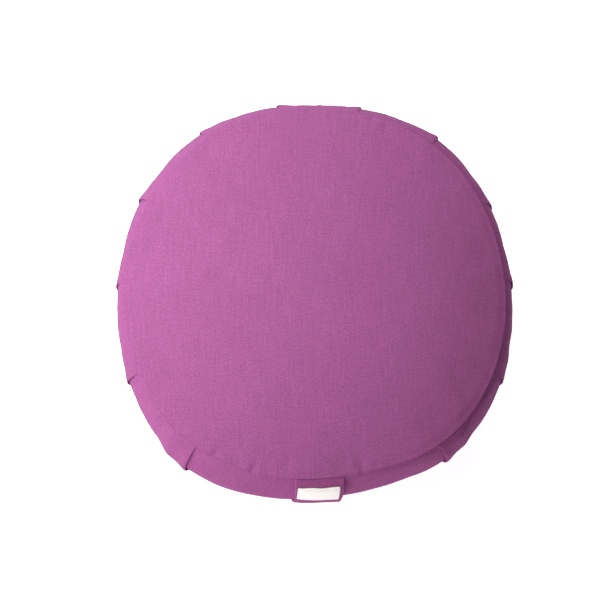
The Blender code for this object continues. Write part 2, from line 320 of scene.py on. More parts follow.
@dataclass(frozen=True)
class FoldShape:
    """The section that every pleat shares, from the plain cloth behind it to that before it.

    Lengths along the band are in millimetres from the folded edge towards the strap.
    """

    rise_places: tuple[float, ...] = (-30, -24, -18, -13, -9, -6, -3.5, -1.5, 0)
    rise_values: tuple[float, ...] = (0, 0.04, 0.10, 0.20, 0.38, 0.66, 0.90, 1.0, 0.97)
    ridge_at: float = -18.5
    ridge_width: float = 7.5
    lean_places: tuple[float, ...] = (-30, -24, -18, -10, -4, -0.8, 2.2, 10)
    lean_values: tuple[float, ...] = (0, 0.2, 0.4, 0.7, 0.9, 1.0, 1.0, 0.4)
    roll_share: float = 0.33  # radius of the folded edge as a share of the lift
    mouth_mm: float = 4.2  # how deep the cloth opens under the edge
    seam_mouth_mm: float = 1.0
    lift_at_seam: float = 0.35
    rises_over: float = 0.022
    opens_over: float = 0.012
    rolls_over: float = 0.005
    approach: tuple[float, ...] = (
        -30, -27, -24.2, -21.6, -19.2, -17, -15, -13.1, -11.3, -9.6, -8, -6.6, -5.3, -4.2, -3.2, -2.4, -1.8,
    )
    roll_steps: int = 9
    under_steps: int = 3
    turn_steps: int = 5
    front: tuple[float, ...] = (-3, -1.8, -0.6, 0.6, 1.8, 3.2, 5, 7.3, 10)
    front_start: float = 0.03  # how much of the front lies before its first step, where the pleat is open
    seam_edge: tuple[float, float] = (-0.9, 0.7)  # where a seam presses the rolled edge flat
    seam_front: float = 1.2

    @property
    def hidden_steps(self) -> int:
        """How many places lie under the edge."""
        return self.under_steps + self.turn_steps

    @property
    def sections(self) -> int:
        """How many places a pleat has."""
        return len(self.approach) + self.roll_steps + self.hidden_steps + len(self.front)

    @property
    def front_shares(self) -> np.ndarray:
        """The places before the pleat as shares of their whole length."""
        front = np.array(self.front)
        return (front - front[0]) / (front[-1] - front[0])

    def outer_layer(self, tuck: Tuck, lift: float) -> np.ndarray:
        """How far the layer that runs up to the folded edge stands off the plain cloth, in millimetres."""
        along = np.array(self.approach)
        rise = flowing(along, self.rise_places, self.rise_values)
        return lift * rise + tuck.ridge_mm * bell(along - self.ridge_at, self.ridge_width)

    def pressed(self, tuck: Tuck) -> tuple[np.ndarray, np.ndarray]:
        """The section where a seam presses the pleat flat: places along and how far off, in millimetres."""
        start, end = self.seam_edge
        along = np.concatenate([
            self.approach,
            np.linspace(start, end, self.roll_steps),
            np.linspace(end, self.seam_front, self.hidden_steps + 2)[1:-1],
            mix(self.seam_front, self.front[-1], self.front_shares),
        ])
        fall = tuck.lift_mm * (1 - ease(np.linspace(0, 1, self.roll_steps + self.hidden_steps)))
        off = np.concatenate([self.outer_layer(tuck, tuck.lift_mm), fall, np.zeros(len(self.front))])
        return along, off

    def opened(self, tuck: Tuck, lift: float, mouth: float) -> tuple[np.ndarray, np.ndarray]:
        """The section where the pleat stands open.

        Args:
            tuck: The pleat.
            lift: How far its edge stands off here, in millimetres.
            mouth: How deep it opens here, in millimetres.

        Returns:
            The places along the band and how far off it, in millimetres.
        """
        roll = self.roll_share * lift
        gap = lift - 2 * roll
        bend = np.linspace(math.pi / 2, -math.pi / 2, self.roll_steps)
        turn = np.linspace(0, math.pi, self.turn_steps + 1)[1:]
        along = np.concatenate([
            self.approach,
            roll * (np.cos(bend) - 1),
            np.linspace(-roll, -mouth, self.under_steps + 1)[1:],
            -mouth - gap / 2 * np.sin(turn),
            mix(-mouth, self.front[-1], mix(self.front_start, 1.0, self.front_shares)),
        ])
        off = np.concatenate([
            self.outer_layer(tuck, lift),
            lift - roll + roll * np.sin(bend),
            np.full(self.under_steps, gap),
            gap / 2 * (1 + np.cos(turn)),
            np.zeros(len(self.front)),
        ])
        return along, off


@dataclass
class PleatedBand:
    """Every column of the band, its pleats and the plain cloth between them, clockwise from the front.

    A column keeps its number from seam to seam. columns is their count: the panels halve it
    ring by ring towards their middles.
    """

    form: FilledForm
    fold: FoldShape
    columns: int = 720
    lobe_swell: float = 0.0006

    def __post_init__(self) -> None:
        """Share the plain columns out between the pleats."""
        self.order = sorted(TUCKS, key=lambda tuck: tuck.half.value * tuck.edge_deg)
        starts, ends = [], []
        for tuck in self.order:
            reach = [at * MM / self.form.seam_radius for at in (self.fold.approach[0], self.fold.front[-1])]
            start, end = sorted(tuck.half.value * (math.radians(tuck.edge_deg) + way) for way in reach)
            starts.append(start)
            ends.append(end)
        self.gaps = list(zip(ends, [*starts[1:], starts[0] + FULL_TURN]))
        plain = self.columns - len(self.order) * self.fold.sections
        shares = np.cumsum([end - start for start, end in self.gaps])
        self.plain_counts = np.diff(np.round(shares / shares[-1] * plain).astype(int), prepend=0)

    def ring(self, drop: float) -> tuple[np.ndarray, np.ndarray]:
        """One level of the band.

        Args:
            drop: How far below the top seam.

        Returns:
            The angle of every column there and how far it stands off the plain form, in metres.
        """
        fold, form = self.fold, self.form
        from_seam = form.from_seam(drop)
        risen = mix(fold.lift_at_seam, 1.0, ease(from_seam / fold.rises_over))
        mouth = mix(fold.seam_mouth_mm, fold.mouth_mm, ease(from_seam / fold.opens_over))
        rolled = ease(from_seam / fold.rolls_over)
        leaned = ease(2 * from_seam / form.band_height)
        angles, offs = [], []
        for tuck, (start, end), count in zip(self.order, self.gaps, self.plain_counts):
            flat_along, flat_off = fold.pressed(tuck)
            along, off = fold.opened(tuck, tuck.lift_mm * risen, mouth)
            lean = leaned * tuck.lean_mm * MM * flowing(flat_along, fold.lean_places, fold.lean_values)
            along = mix(flat_along, along, rolled) * MM + lean
            way = tuck.half.value
            angle = way * (math.radians(tuck.edge_deg) + along / form.seam_radius)
            step = np.arange(1, count + 1) / (count + 1)
            angles += [angle[::way], mix(start, end, step)]
            swell = self.lobe_swell * math.sin(math.pi * drop / form.band_height)
            offs += [(mix(flat_off * risen, off, rolled) * MM)[::way], swell * np.sin(math.pi * step)]
        return np.concatenate(angles), np.concatenate(offs)


@dataclass(frozen=True)
class Pucker:
    """A small pinch where the stitches gather the cloth.

    depth_mm is how deep it is, width_mm how wide round the cushion, reach_mm how long it is
    across the seam, and inset_mm where its middle lies inside the seam.
    """

    turn_deg: float
    inset_mm: float
    depth_mm: float
    width_mm: float
    reach_mm: float


PUCKERS = tuple(Pucker(*row) for row in (
    (211.1, 4.5, 1.30, 2.8, 4.5), (198.7, 4.0, 2.00, 2.4, 4.5), (188.7, 11.7, 0.70, 4.5, 7.0),
    (165.0, 8.3, 1.05, 3.6, 6.0), (165.2, 1.5, 1.30, 1.8, 3.0), (335.0, 2.7, 0.65, 2.6, 4.0),
    (339.3, 2.0, 0.55, 2.4, 4.0), (18.5, 3.2, 0.65, 2.8, 4.5), (23.3, 7.3, 0.50, 3.6, 6.0),
    (268.5, 3.4, 0.55, 3.0, 4.5), (90.9, 6.6, 0.30, 3.2, 5.0), (45.0, 4.0, 0.25, 3.0, 5.0),
    (120.0, 4.5, 0.30, 3.2, 5.5), (300.0, 4.0, 0.22, 3.4, 5.0),
))


@dataclass(frozen=True)
class SeamRelief:
    """The low relief that sewing leaves beside the seams, all of it along the outward normal."""

    crease_depth: float = 0.00042
    crease_width: float = 0.0008
    roll_height: float = 0.00024  # the panel's edge rolls up over its seam allowance
    roll_inset: float = 0.0022
    roll_width: float = 0.0011
    hollow_depth: float = 0.00012
    hollow_width: float = 0.0028
    allowance_height: float = 0.00020
    allowance_inset: float = 0.0085
    allowance_width: float = 0.0035
    tight_turn_deg: float = 227.0  # where the top seam is drawn in most
    tight_width_deg: float = 7.0
    tight_gain: float = 1.6
    rim_share: float = 0.45  # how far the cloth beside a pucker rises, as a share of its depth
    rim_spread: float = 2.4
    uneven_lobes: range = range(3, 30, 2)
    unevenness: float = 0.25
    seed: int = 11

    def uneven(self, angle: np.ndarray) -> np.ndarray:
        """A slow random change of strength round the seam, about 1."""
        draw = np.random.default_rng(self.seed)
        total = np.zeros_like(angle)
        for lobes in self.uneven_lobes:
            total += draw.normal() / math.sqrt(lobes) * np.cos(lobes * angle + draw.uniform(0, FULL_TURN))
        return 1 + self.unevenness * total

    def at(self, angle: np.ndarray, inset: float) -> np.ndarray:
        """Height of the relief.

        Args:
            angle: Angles round the cushion.
            inset: Metres inside the seam on a panel, and minus the metres from it on the band.

        Returns:
            Metres outwards.
        """
        off_tight = turn_from(self.tight_turn_deg, angle)
        tight = 1 + self.tight_gain * bell(off_tight, math.radians(self.tight_width_deg))
        crease = self.crease_depth * bell(inset, self.crease_width)
        hollow = self.hollow_depth * bell(inset, self.hollow_width)
        roll = self.roll_height * bell(inset - self.roll_inset, self.roll_width)
        ridge = self.allowance_height * bell(inset - self.allowance_inset, self.allowance_width)
        return self.uneven(angle) * (roll + ridge - tight * (crease + hollow))

    def puckers(self, angle: np.ndarray, inset: float, radius: float) -> np.ndarray:
        """Height of the puckers at these places, with the small ridges beside them."""
        total = np.zeros_like(angle)
        for pucker in PUCKERS:
            across = turn_from(pucker.turn_deg, angle) * radius
            width = pucker.width_mm * MM
            dent = bell(across, width) - self.rim_share * bell(across, self.rim_spread * width)
            total -= pucker.depth_mm * MM * bell(inset - pucker.inset_mm * MM, pucker.reach_mm * MM) * dent
        return total


@dataclass
class SlackCloth:
    """Small folds of the cover that a cloth simulation finds: cut a little full, and held at its seams.

    It runs on a coarse cage of the filled form and gives heights that the fine mesh reads. The
    husks fill the cover tight, so only the share left_slack of each fold's height is left.
    """

    form: FilledForm
    fullness: float = 0.02
    pressure: float = 4.0
    frames: int = 20
    columns: int = 288
    panel_reach: float = 0.100
    underside_reach: float = 0.042
    rows_top: int = 21
    rows_band: int = 22
    rows_bottom: int = 9
    pleat_hold: float = 0.7
    pleat_hold_width: float = 0.009
    start_noise: float = 0.00005
    slow_waves: int = 9
    left_slack: float = 0.16
    crown_reach: float = 0.030
    cap: float = 0.0006
    seed: int = 5

    def levels(self) -> list[tuple[Panel, float]]:
        """The cage's rows: the panel and level of each, from the top over the side to the bottom."""
        top = np.linspace(self.panel_reach, 0, self.rows_top + 1)[:-1]
        band = np.linspace(0, self.form.band_height, self.rows_band)
        bottom = np.linspace(0, self.underside_reach, self.rows_bottom + 1)[1:]
        return [(panel, level) for panel, levels in zip(Panel, (top, band, bottom)) for level in levels]

    def cage(self) -> tuple[np.ndarray, np.ndarray]:
        """Points and outward normals of the cage, as rows by columns."""
        angle = np.arange(self.columns) / self.columns * FULL_TURN
        points, normals = [], []
        for panel, level in self.levels():
            here = np.full_like(angle, level)
            points.append(self.form.surface(panel)(angle, here))
            normals.append(self.form.outward(panel, angle, here))
        return np.array(points), np.array(normals)

    def holds(self) -> np.ndarray:
        """How firmly each point is held: wholly at the seams and the cage's ends, partly at the pleats."""
        angle = np.arange(self.columns) / self.columns * FULL_TURN
        near = [bell(turn_from(tuck.half.value * tuck.edge_deg, angle) * self.form.seam_radius,
                     self.pleat_hold_width) for tuck in TUCKS]
        held = np.zeros((self.rows_top + self.rows_band + self.rows_bottom, self.columns))
        held[self.rows_top:-self.rows_bottom] = self.pleat_hold * np.max(near, axis=0)
        held[[0, self.rows_top, self.rows_top + self.rows_band - 1, -1]] = 1.0
        return held

    def settle(self) -> np.ndarray:
        """Run the simulation.

        Returns:
            How far each point of the cage moved outwards, in metres, as rows by columns.
        """
        points, normals = self.cage()
        rows, count = points.shape[:2]
        draw = np.random.default_rng(self.seed)
        start = points + normals * draw.normal(0, self.start_noise, (rows, count, 1))
        number = np.arange(rows * count).reshape(rows, count)
        following = np.roll(number, -1, axis=1)
        quads = np.stack([number[:-1], number[1:], following[1:], following[:-1]], axis=-1).reshape(-1, 4)
        cage = add_mesh("cage", start.reshape(-1, 3).tolist(), quads.tolist())
        group = cage.vertex_groups.new(name="held")
        for index, weight in enumerate(self.holds().ravel()):
            group.add([index], float(weight), "REPLACE")
        cloth = cage.modifiers.new("cloth", "CLOTH")
        for name, value in {
            "quality": 6, "mass": 0.3, "tension_stiffness": 25, "compression_stiffness": 25,
            "shear_stiffness": 8, "bending_stiffness": 1.2, "shrink_min": -self.fullness,
            "use_pressure": True, "uniform_pressure_force": self.pressure, "vertex_group_mass": "held",
        }.items():
            setattr(cloth.settings, name, value)
        cloth.settings.effector_weights.gravity = 0.0
        cloth.point_cache.frame_start, cloth.point_cache.frame_end = 1, self.frames
        scene = bpy.context.scene
        scene.frame_start, scene.frame_end = 1, self.frames
        for step in range(1, self.frames + 1):
            scene.frame_set(step)
        settled = cage.evaluated_get(bpy.context.evaluated_depsgraph_get())
        place = np.empty(rows * count * 3)
        settled.data.vertices.foreach_get("co", place)
        scene.frame_set(1)
        bpy.data.objects.remove(cage)
        return ((place.reshape(rows, count, 3) - points) * normals).sum(-1)

    def heights(self) -> np.ndarray:
        """The settled heights without their slow waves, which would change the fitted outline."""
        raw = self.settle()
        waves = np.fft.rfft(raw, axis=1)
        waves[:, : self.slow_waves] = 0
        fine = np.fft.irfft(waves, n=raw.shape[1], axis=1)
        log.info("slack cloth: raw %.2f mm, fine %.2f mm rms", raw.std() / MM, fine.std() / MM)
        return self.cap * np.tanh(self.left_slack * fine / self.cap)

    def read(self, heights: np.ndarray, path: float, angle: np.ndarray) -> np.ndarray:
        """Read the heights smoothly between the cage's points.

        They fade out towards the crown, where the filling holds the cloth taut.

        Args:
            heights: The settled heights, rows by columns.
            path: How far past the top seam the places lie.
            angle: Angles round the cushion.

        Returns:
            Metres outwards, none past the cage.
        """
        paths = [self.form.path(panel, level) for panel, level in self.levels()]
        if not paths[0] <= path <= paths[-1]:
            return 0 * angle
        row = float(np.interp(path, paths, range(len(paths))))
        cell = min(int(row), len(paths) - 2)
        line = mix(heights[cell], heights[cell + 1], ease(row - cell))
        at = (angle % FULL_TURN) / FULL_TURN * self.columns
        low = np.floor(at).astype(int) % self.columns
        taut = bell(max(0.0, -path, path - self.form.band_height), self.crown_reach)
        return taut * mix(line[low], line[(low + 1) % self.columns], ease(at - np.floor(at)))


@dataclass
class Ring:
    """One ring of the cover's fine mesh: its panel and level, and its columns' angles and heights."""

    panel: Panel
    level: float
    angle: np.ndarray
    off: np.ndarray


@dataclass
class CushionCover:
    """The sewn cover, filled tight: two round panels and the pleated band as one closed mesh.

    Each group of a round panel's insets has half the columns of the group before it.
    """

    form: FilledForm
    band: PleatedBand
    relief: SeamRelief
    slack: SlackCloth
    top_insets_mm: tuple[tuple[float, ...], ...] = (
        (0.3, 0.6, 1, 1.5, 2.2, 3.2, 4.4, 5.8, 7.4, 9.2, 11.4, 14, 17, 20.5, 24.5, 29),
        (33, 37.5, 42.5, 48, 54, 60), (66, 73, 80, 88), (96, 105, 114), (123, 132, 141),
    )
    band_drops_mm: tuple[float, ...] = (0, 0.3, 0.6, 1, 1.5, 2.2, 3.2, 4.5, 6, 8, 10.5, 13.2)
    band_step: float = 0.0028
    bottom_insets_mm: tuple[tuple[float, ...], ...] = (
        (0.5, 1.2, 2.2, 4, 7, 11, 16, 22), (29, 36, 43, 50.3), (60, 75), (95,), (115, 135),
    )
    evens_out_over: float = 0.040
    seam_tilt_deg: float = 42.0  # how far the outward way tilts up or down at a seam
    tilts_over: float = 0.003
    bottom_turn: float = 1.0  # turns the bottom seam's relief, so that it isn't a copy of the top's
    lies_flat_under: float = 0.004
    map_drop: float = 0.025  # the weave keeps its scale round the band at this level

    def drops(self) -> np.ndarray:
        """Levels of the band, close together beside the seams."""
        near = np.array(self.band_drops_mm) * MM
        middle = self.form.band_height / 2
        count = round((middle - near[-1]) / self.band_step)
        upper = np.concatenate([near, np.linspace(near[-1], middle, count + 1)[1:]])
        return np.concatenate([upper, self.form.band_height - upper[::-1][1:]])

    def rings(self) -> list[Ring]:
        """All rings, from the middle of the top over the band to the middle of the bottom."""
        side = [Ring(Panel.BAND, drop, *self.band.ring(drop)) for drop in self.drops()]
        top = self.panel_rings(Panel.TOP, side[0].angle, self.top_insets_mm)
        return top[::-1] + side + self.panel_rings(Panel.BOTTOM, side[-1].angle, self.bottom_insets_mm)

    def panel_rings(
        self, panel: Panel, angle: np.ndarray, groups: Sequence[Sequence[float]]
    ) -> list[Ring]:
        """Rings of a round panel from its seam, where it has these angles, inwards."""
        rings = []
        for number, group in enumerate(groups):
            angle = angle[::2] if number else angle
            even = angle[0] + np.arange(len(angle)) / len(angle) * FULL_TURN
            even += (angle - even).mean()
            for inset in group:
                here = mix(angle, even, ease(inset * MM / self.evens_out_over))
                rings.append(Ring(panel, inset * MM, here, 0 * here))
        return rings

    def points(self, ring: Ring, heights: np.ndarray | None) -> np.ndarray:
        """A ring's points with the relief of seams, puckers and slack cloth.

        Near a seam they move along a way that lies between the panel's and the band's.
        """
        form, angle = self.form, ring.angle
        path = form.path(ring.panel, ring.level)
        level = np.full_like(angle, ring.level)
        side = at_turn(angle, 1.0, 0.0)
        base = form.surface(ring.panel)(angle, level) + side * ring.off[:, None]
        tilt = math.radians(self.seam_tilt_deg) * (1 if path < form.band_height / 2 else -1)
        between = side * math.cos(tilt) + np.array([0.0, 0.0, math.sin(tilt)])
        near = min(abs(path), abs(path - form.band_height))
        out = mix(form.outward(ring.panel, angle, level), between, bell(near, self.tilts_over))
        out /= np.linalg.norm(out, axis=-1, keepdims=True)
        height = self.relief.at(angle, -path) + self.relief.puckers(angle, -path, form.seam_radius)
        height += self.relief.at(angle + self.bottom_turn, path - form.band_height)
        if heights is not None:
            height += self.slack.read(heights, path, angle)
        if ring.panel is Panel.BOTTOM:
            height *= ease(base[:, 2] / self.lies_flat_under)
        return base + out * height[:, None]

    def build(self) -> bpy.types.Object:
        """Make the cover as one closed mesh with a cloth map in metres."""
        rings = self.rings()
        heights = self.slack.heights()
        placed = [self.points(ring, heights) for ring in rings]
        starts = np.cumsum([0] + [len(points) for points in placed])
        numbers = [np.arange(len(points)) + start for points, start in zip(placed, starts)]
        chain = [starts[-1:], *numbers, starts[-1:] + 1]
        panels = [Panel.TOP, *(ring.panel for ring in rings), Panel.BOTTOM]
        faces, owners = [], []
        for upper, lower, above, below in zip(chain, chain[1:], panels, panels[1:]):
            made = joined_rings(upper, lower)
            faces += made
            owners += [below if above is Panel.BAND else above] * len(made)
        points = np.concatenate([*placed, [[0.0, 0.0, self.form.height], [0.0, 0.0, 0.0]]])
        side = [start for ring, start in zip(rings, starts) if ring.panel is Panel.BAND]
        cloth = self.cloth_map(points, side[0], faces, owners)
        return add_mesh("cover", points.tolist(), faces, cloth=cloth)

    def cloth_map(
        self, points: np.ndarray, first: int, faces: list[tuple[int, ...]], owners: list[Panel]
    ) -> np.ndarray:
        """Lay the weave straight across the round panels, and round and down the band.

        Args:
            points: The cover's vertices.
            first: Number of the band's first vertex.
            faces: The vertex numbers of each face.
            owners: The panel of each face.

        Returns:
            Each face corner's place on the cloth, in metres.
        """
        drops = self.drops()
        row = int(np.argmin(np.abs(drops - self.map_drop)))
        loop = points[first:][row * self.band.columns:(row + 1) * self.band.columns]
        across = running(np.concatenate([loop, loop[:1]]))
        down = running(np.stack([self.form.band_radius(drops), drops], axis=-1))
        flat = points[:, :2]
        wound = np.zeros_like(flat)
        grid = np.stack(np.meshgrid(across[:-1], -down), axis=-1).reshape(-1, 2)
        wound[first:first + len(grid)] = grid
        corners = []
        for face, owner in zip(faces, owners):
            place = (wound if owner is Panel.BAND else flat)[list(face)]
            if owner is Panel.BAND and np.ptp(place[:, 0]) > across[-1] / 2:
                place[place[:, 0] < across[-1] / 2, 0] += across[-1]
            corners.append(place)
        return np.concatenate(corners)


def joined_rings(upper: np.ndarray, lower: np.ndarray) -> list[tuple[int, ...]]:
    """Faces between two rings, whose counts are equal or one twice the other, or one of which is a pole.

    Args:
        upper: Vertex numbers of the ring that comes first from the top's middle, clockwise.
        lower: Vertex numbers of the other.

    Returns:
        Faces that point outwards.
    """
    faces = []
    count = max(len(upper), len(lower))
    for i in range(count):
        a, b = (int(upper[step * len(upper) // count % len(upper)]) for step in (i, i + 1))
        d, c = (int(lower[step * len(lower) // count % len(lower)]) for step in (i, i + 1))
        corners = (a, b, c, d) if len(upper) >= len(lower) else (b, c, d, a)
        faces.append(tuple(dict.fromkeys(corners)))
    return faces


def closed_patch(name: str, front: np.ndarray, back: np.ndarray, plan: np.ndarray) -> bpy.types.Object:
    """Make a closed mesh from a front and a back grid that share their outline.

    Args:
        name: The object's name.
        front: Points of the front, rows by columns, the rows running down and the columns across.
        back: Points of the back in the same order.
        plan: Each point's place on the cloth in metres, for the weave.

    Returns:
        The object.
    """
    rows, columns = front.shape[:2]
    count = rows * columns
    number = np.arange(count).reshape(rows, columns)
    grid = np.stack([number[:-1, :-1], number[1:, :-1], number[1:, 1:], number[:-1, 1:]], axis=-1)
    grid = grid.reshape(-1, 4)
    rim = np.concatenate([number[0, :-1], number[:-1, -1], number[-1, :0:-1], number[:0:-1, 0]])
    onward = np.roll(rim, -1)
    sides = np.stack([rim, onward, onward + count, rim + count], axis=-1)
    faces = np.concatenate([grid, grid[:, ::-1] + count, sides])
    points = np.concatenate([front.reshape(-1, 3), back.reshape(-1, 3)])
    cloth = np.tile(plan.reshape(-1, 2), (2, 1))[faces.ravel()]
    return add_mesh(name, points.tolist(), faces.tolist(), cloth=cloth)


@dataclass(frozen=True)
class Ripple:
    """A slow even wave over a strip of cloth; its rates are radians a metre."""

    height: float
    across_rate: float
    down_rate: float
    phase: float

    def at(self, across: np.ndarray, down: np.ndarray) -> np.ndarray:
        """Its height at these places."""
        return self.height * np.sin(across * self.across_rate + down * self.down_rate + self.phase)


@dataclass
class CarryStrap:
    """The carrying strap: the same canvas folded to a flat strip, topstitched, and sewn into both seams."""

    form: FilledForm
    width: float = 0.039
    thickness: float = 0.0026
    end_thickness_share: float = 0.5
    clearance: float = 0.0004
    bow: float = 0.0009
    lean_deg: float = -3.4
    flatness: float = 0.9
    twist: float = 0.030
    free_over: float = 0.014
    end_dive: float = 0.0016
    dives_over: float = 0.0030
    arch: float = 0.0005
    arch_power: float = 2.4
    sways: tuple[Ripple, ...] = (Ripple(0.00022, 190, 60, 0.0), Ripple(0.0002, 60, 130, 1.3))
    edge_sway: Ripple = Ripple(0.00035, 0, 85, 0.7)
    edge_share: float = 0.7  # where the edges' sway begins, as a share of half the width
    stitch_inset: float = 0.0034
    stitch_depth: float = 0.00030
    stitch_width: float = 0.0008
    stitch_ends: float = 0.005
    stitch_rise: float = 0.00004
    round_share: float = 0.62  # how far in the edges round off, as a share of the thickness
    fold_share: float = 0.42  # how high the outline lies between the back and the front
    rows: int = 84
    flat_steps: int = 30
    edge_steps: int = 5
    slope_step: float = 0.0001

    def seat(self, drop: np.ndarray) -> np.ndarray:
        """How far the strap's back stands off the band."""
        open_part = np.sin(math.pi * np.clip(drop / self.form.band_height, 0, 1))
        dive = self.end_dive * bell(self.form.from_seam(drop), self.dives_over)
        return self.clearance + self.bow * open_part - dive

    def surface(self, across: np.ndarray, drop: np.ndarray) -> np.ndarray:
        """How far the strap's front stands off the band at its full thickness."""
        puff = self.arch * (1 - np.abs(across / (self.width / 2)) ** self.arch_power)
        off_stitch = np.abs(across) - (self.width / 2 - self.stitch_inset)
        groove = self.stitch_depth * bell(off_stitch, self.stitch_width)
        sway = sum(ripple.at(across, drop) for ripple in self.sways)
        free = ease(self.form.from_seam(drop) / self.free_over)
        full = mix(self.end_thickness_share, 1.0, free) * self.thickness
        return self.seat(drop) + full + free * (puff - self.arch + sway - groove)

    def place(self, across: np.ndarray, drop: np.ndarray, off: np.ndarray) -> np.ndarray:
        """Points over the front of the band.

        The strap is stiff: between the seams it stays nearly flat across, and twists a little.

        Args:
            across: Metres across the strap from its middle.
            drop: Metres down from the top seam.
            off: Metres off the cloth of the band.

        Returns:
            The points.
        """
        form, step = self.form, self.slope_step
        inside = np.clip(drop, 2 * step, form.band_height - 2 * step)
        free = ease(form.from_seam(inside) / self.free_over)
        off = off + self.twist * across * free
        side = across + math.tan(math.radians(self.lean_deg)) * drop
        centre = math.radians(form.strap_deg)
        levels = inside - step, inside + step
        above, below = (form.band_radius(level) * form.outline(centre, level) for level in levels)
        slope = (below - above) / (2 * step)
        length = np.hypot(1.0, slope)
        middle = (above + below) / 2 + off / length
        angle = centre - np.arctan2(side, middle)
        bent = form.band_radius(inside) * form.outline(angle, inside) + off / length
        radius = mix(bent, np.hypot(middle, side), self.flatness * free)
        return at_turn(angle, radius, form.top_seam_height - drop + off * slope / length)

    def across_places(self) -> tuple[np.ndarray, np.ndarray]:
        """Places across the strap, and at each the share of its full thickness: its edges are round."""
        bend = np.linspace(0, math.pi / 2, self.edge_steps + 1)
        half, radius = self.width / 2, self.thickness * self.round_share
        left = (-half + radius * (1 - np.cos(bend)))[:-1]
        flat = np.linspace(-half + radius, half - radius, self.flat_steps + 1)
        full = np.sin(bend)[:-1]
        places = np.concatenate([left, flat, -left[::-1]])
        return places, np.concatenate([full, np.ones(len(flat)), full[::-1]])

    def build(self) -> bpy.types.Object:
        """Make the strap as one closed mesh."""
        places, full = self.across_places()
        share = np.linspace(0, 1, self.rows)
        across, down = np.meshgrid(places, self.form.band_height * (share + ease(share)) / 2)
        at_edge = ease((np.abs(across) / (self.width / 2) - self.edge_share) / (1 - self.edge_share))
        shown = across + self.edge_sway.at(across, down) * np.sign(across) * at_edge
        top, low = self.surface(across, down), self.seat(down)
        middle = mix(low, top, self.fold_share)
        front = self.place(shown, down, mix(middle, top, full))
        back = self.place(shown, down, mix(middle, low, full))
        return closed_patch("strap", front, back, np.stack([across, -down], axis=-1))

    def stitch_line(self, side: int) -> np.ndarray:
        """Points along one row of topstitching, from seam to seam."""
        drop = np.linspace(self.stitch_ends, self.form.band_height - self.stitch_ends, 120)
        across = np.full_like(drop, side * (self.width / 2 - self.stitch_inset))
        return self.place(across, drop, self.surface(across, drop) + self.stitch_rise)

    @property
    def flat_size(self) -> tuple[float, float]:
        """Width and length of the strip laid flat, from seam to seam."""
        drop = np.linspace(0, self.form.band_height, 200)
        return self.width, float(running(self.place(0 * drop, drop, self.seat(drop)))[-1])


@dataclass
class BareLabel:
    """The small label: a bare white woven patch, sewn round its edge to the upper part of the strap."""

    strap: CarryStrap
    width: float = 0.0335
    height: float = 0.0246
    thickness: float = 0.0007
    top_drop: float = 0.0074
    aside: float = 0.0006
    clearance: float = 0.0002
    corner: float = 0.0012
    stitch_inset: float = 0.0016
    stitch_depth: float = 0.00018
    stitch_width: float = 0.0006
    stitch_rise: float = 0.00002
    puff: float = 0.00025
    puffs_over: float = 0.006
    top_wave: Ripple = Ripple(0.00012, 420, 0, 0.6)
    top_wave_reach: float = 0.004
    edge_wave: Ripple = Ripple(0.00025, 300, 0, 0.4)
    rows: int = 44
    columns: int = 52

    def surface(self, across: np.ndarray, down: np.ndarray) -> np.ndarray:
        """How far the label's front stands off the band, its edges pressed down by the stitches."""
        edge = np.minimum(self.width / 2 - np.abs(across), np.minimum(down, self.height - down))
        dent = self.stitch_depth * bell(edge - self.stitch_inset, self.stitch_width)
        puff = self.puff * ease(edge / self.puffs_over)
        wave = self.top_wave.at(across, down) * bell(down, self.top_wave_reach)
        under = self.strap.surface(across - self.aside, self.top_drop + down)
        return under + self.clearance + self.thickness + puff - dent + wave

    def place(self, across: np.ndarray, down: np.ndarray, off: np.ndarray) -> np.ndarray:
        """Points over the strap, from the label's own middle and top edge."""
        return self.strap.place(across - self.aside, self.top_drop + down, off)

    def build(self) -> bpy.types.Object:
        """Make the label as one closed mesh with rounded corners and a slightly wavy top edge."""
        half, half_height = self.width / 2, self.height / 2
        across, down = np.meshgrid(
            np.linspace(-half, half, self.columns), np.linspace(0, self.height, self.rows)
        )
        x = np.maximum(np.abs(across) - (half - self.corner), 0)
        y = np.maximum(np.abs(down - half_height) - (half_height - self.corner), 0)
        pull = np.where((x > 0) & (y > 0), np.maximum(x, y) / np.maximum(np.hypot(x, y), TINY), 1.0)
        x_shown = across - np.sign(across) * x * (1 - pull)
        y_shown = down - np.sign(down - half_height) * y * (1 - pull)
        y_shown = y_shown + self.edge_wave.at(across, down) * (1 - down / self.height)
        off = self.surface(across, down)
        front, back = (self.place(x_shown, y_shown, level) for level in (off, off - self.thickness))
        return closed_patch("label_patch", front, back, np.stack([across, -down], axis=-1))

    def stitch_line(self) -> np.ndarray:
        """Points round the label just inside its edge."""
        half, inset = self.width / 2 - self.stitch_inset, self.stitch_inset
        low = self.height - inset
        corners = np.array([[-half, inset], [half, inset], [half, low], [-half, low], [-half, inset]])
        pieces = [mix(a, b, np.linspace(0, 1, 30)[:-1, None]) for a, b in zip(corners, corners[1:])]
        across, down = np.concatenate(pieces).T
        return self.place(across, down, self.surface(across, down) + self.stitch_rise)


def srgb(code: str) -> tuple[float, float, float, float]:
    """Turn an sRGB hex colour into linear values with full alpha."""
    parts = [int(code[i:i + 2], 16) / 255 for i in (1, 3, 5)]
    linear = [p / 12.92 if p <= 0.04045 else ((p + 0.055) / 1.055) ** 2.4 for p in parts]
    return (*linear, 1.0)


